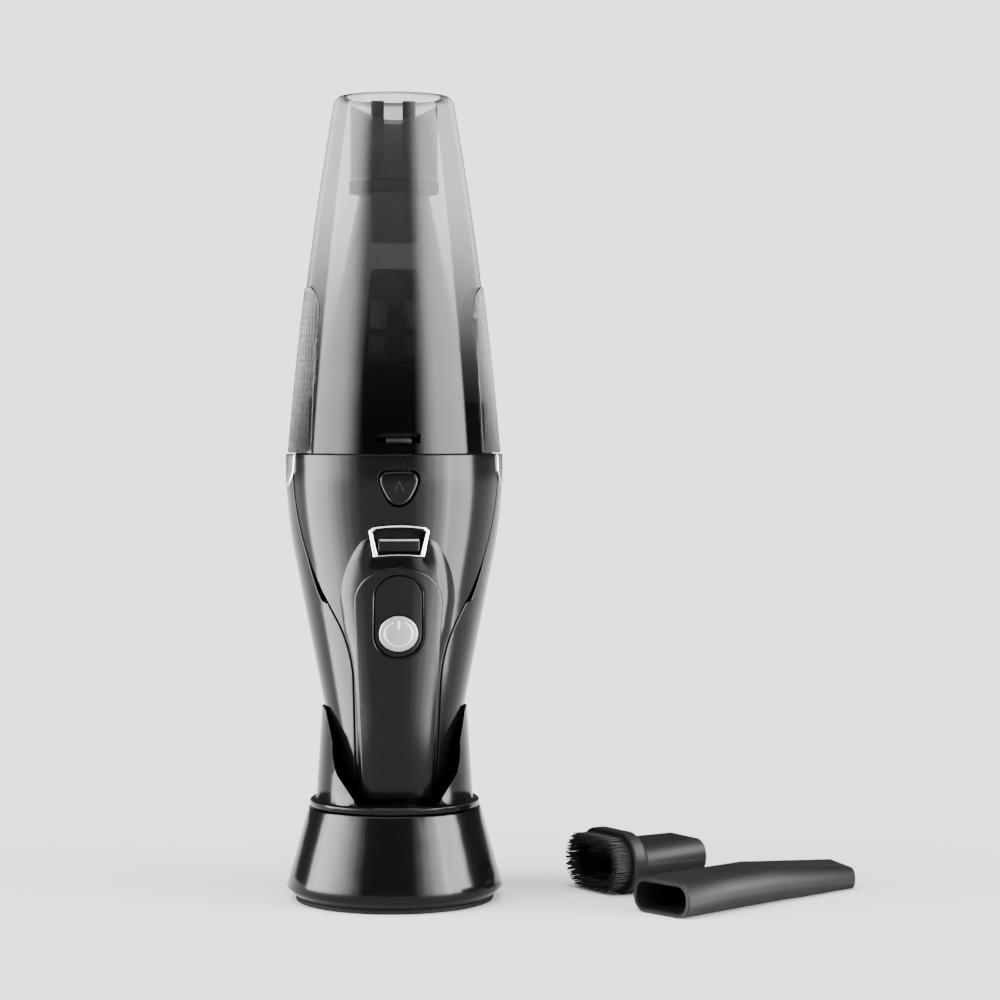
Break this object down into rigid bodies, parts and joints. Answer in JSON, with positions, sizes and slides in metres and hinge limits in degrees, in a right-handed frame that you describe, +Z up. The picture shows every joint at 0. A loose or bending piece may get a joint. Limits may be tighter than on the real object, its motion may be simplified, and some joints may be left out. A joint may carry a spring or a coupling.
{
  "type": "handheld vacuum",
  "caption": "Cordless handheld vacuum with a smoke-clear dust cup, standing in its charging dock, with a brush nozzle and a crevice tool beside it.",
  "frame": {"origin": "centre of the dock's underside, on the surface that it stands on", "axes": "+Z up along the common axis of dock, handle and dust cup; the buttons face -Y; +X to the right as seen from the front"},
  "size_m": [0.2895, 0.1309, 0.4],
  "materials": {
    "black_gloss": "high gloss",
    "black_satin": "satin",
    "smoke_clear": "smoke-tinted clear plastic, polished",
    "bright_chrome": "polished",
    "silver_plastic": "silver, satin",
    "black_rubber": "matt",
    "steel": "bright",
    "brass_contact": "bright",
    "board_green": "lacquered circuit board",
    "cell_wrap": "shrink film",
    "filter_paper": "pleated paper",
    "bristle_nylon": "nylon bristles",
    "inner_plastic": "moulded, plain"
  },
  "bodies": {
    "dock": {"dock_skirt": "black_gloss", "dock_cradle": "black_gloss", "dock_foot_ring": "black_rubber", "dock_bottom_cover": "black_satin", "dock_screws": "steel", "dock_contact_block": "inner_plastic", "dock_circuit_board": "board_green", "power_inlet": "black_satin"},
    "contact_pins": {"charging_pins": "brass_contact"},
    "vacuum": {"handle_end_plate": "black_satin", "front_cover": "black_gloss", "left_housing": "black_gloss", "right_housing": "black_gloss", "handle_saddle": "black_gloss", "left_trim": "bright_chrome", "right_trim": "bright_chrome", "switch_panel": "black_gloss", "power_switch": "inner_plastic", "main_circuit_board": "board_green", "slider_bezel": "bright_chrome", "motor_chamber": "inner_plastic", "motor": "steel", "motor_mount": "black_rubber", "fan_shroud": "inner_plastic", "battery_cells": "cell_wrap", "battery_holder_bottom": "inner_plastic", "battery_holder_top": "inner_plastic", "charging_pads": "brass_contact", "housing_screws": "steel", "coupling_ring": "black_satin", "cup_seal": "black_rubber"},
    "power_key": {"power_button": "silver_plastic"},
    "release_key": {"release_button": "black_gloss"},
    "slider": {"speed_slider": "black_gloss"},
    "rotor": {"motor_shaft": "steel", "fan": "inner_plastic"},
    "filter": {"filter_seat": "black_satin", "filter_cage": "black_satin", "filter_pleats": "filter_paper"},
    "cup": {"dust_cup": "smoke_clear", "inlet_socket": "smoke_clear", "socket_gasket": "smoke_clear", "inlet_duct": "black_satin", "flap_pin": "steel", "air_cone": "smoke_clear"},
    "flap": {"inlet_flap": "black_rubber"},
    "brush": {"brush_body": "black_satin", "brush_bristles": "bristle_nylon"},
    "crevice": {"crevice_tool": "black_satin"}
  },
  "joints": [
    {"name": "vacuum_lift", "type": "slide", "parent": "dock", "child": "vacuum", "axis": [0, 0, 1], "range_m": [0, 0.1]},
    {"name": "pins_press", "type": "slide", "parent": "dock", "child": "contact_pins", "axis": [0, 0, -1], "range_m": [0, 0.0015], "stiffness_N_per_m": 400},
    {"name": "power_press", "type": "slide", "parent": "vacuum", "child": "power_key", "axis": [0, 1, 0], "range_m": [0, 0.0012], "stiffness_N_per_m": 800},
    {"name": "release_press", "type": "slide", "parent": "vacuum", "child": "release_key", "axis": [0, 1, 0], "range_m": [0, 0.003], "stiffness_N_per_m": 600},
    {"name": "speed_slide", "type": "slide", "parent": "vacuum", "child": "slider", "axis": [0, 0, 1], "range_m": [0, 0.003]},
    {"name": "fan_spin", "type": "hinge", "parent": "vacuum", "child": "rotor", "pos_m": [0, 0, 0.19], "axis": [0, 0, 1], "continuous": true},
    {"name": "filter_twist", "type": "hinge", "parent": "vacuum", "child": "filter", "pos_m": [0, 0, 0.24], "axis": [0, 0, 1], "range_deg": [0, 30]},
    {"name": "cup_pull", "type": "slide", "parent": "vacuum", "child": "cup", "axis": [0, 0, 1], "range_m": [0, 0.11]},
    {"name": "flap_swing", "type": "hinge", "parent": "cup", "child": "flap", "pos_m": [0, 0.005, 0.362], "axis": [1, 0, 0], "range_deg": [0, 70], "stiffness_Nm_per_rad": 0.002},
    {"name": "brush_lift", "type": "slide", "parent": "dock", "child": "brush", "axis": [0, 0, 1], "range_m": [0, 0.08]},
    {"name": "crevice_lift", "type": "slide", "parent": "dock", "child": "crevice", "axis": [0, 0, 1], "range_m": [0, 0.08]}
  ]
}
